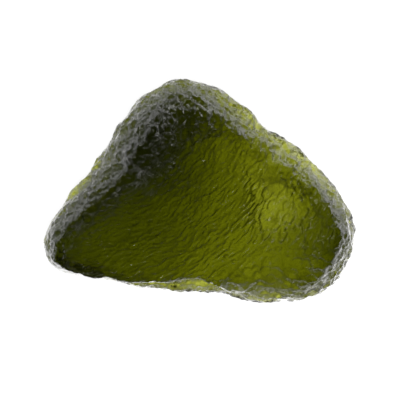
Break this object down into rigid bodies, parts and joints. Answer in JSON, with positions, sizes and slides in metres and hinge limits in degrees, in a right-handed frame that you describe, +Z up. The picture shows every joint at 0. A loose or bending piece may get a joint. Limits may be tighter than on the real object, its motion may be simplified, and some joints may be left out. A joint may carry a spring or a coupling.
{
  "type": "moldavite",
  "caption": "Natural green glass stone, a rounded triangle with a dished broad face, a raised crest, an etched and pitted skin and a small flat spot to rest on.",
  "frame": {"origin": "centre of the bounding box, on the flat spot that the stone rests on", "axes": "+X along the longest side, +Y from the thin lower edge to the thick apex, +Z up through the dished broad face"},
  "size_m": [0.0362, 0.026, 0.0136],
  "materials": {
    "green_glass": "natural olive-green glass, see-through, with a glossy etched and pitted skin"
  },
  "bodies": {
    "root": {"moldavite": "green_glass"}
  },
  "joints": []
}
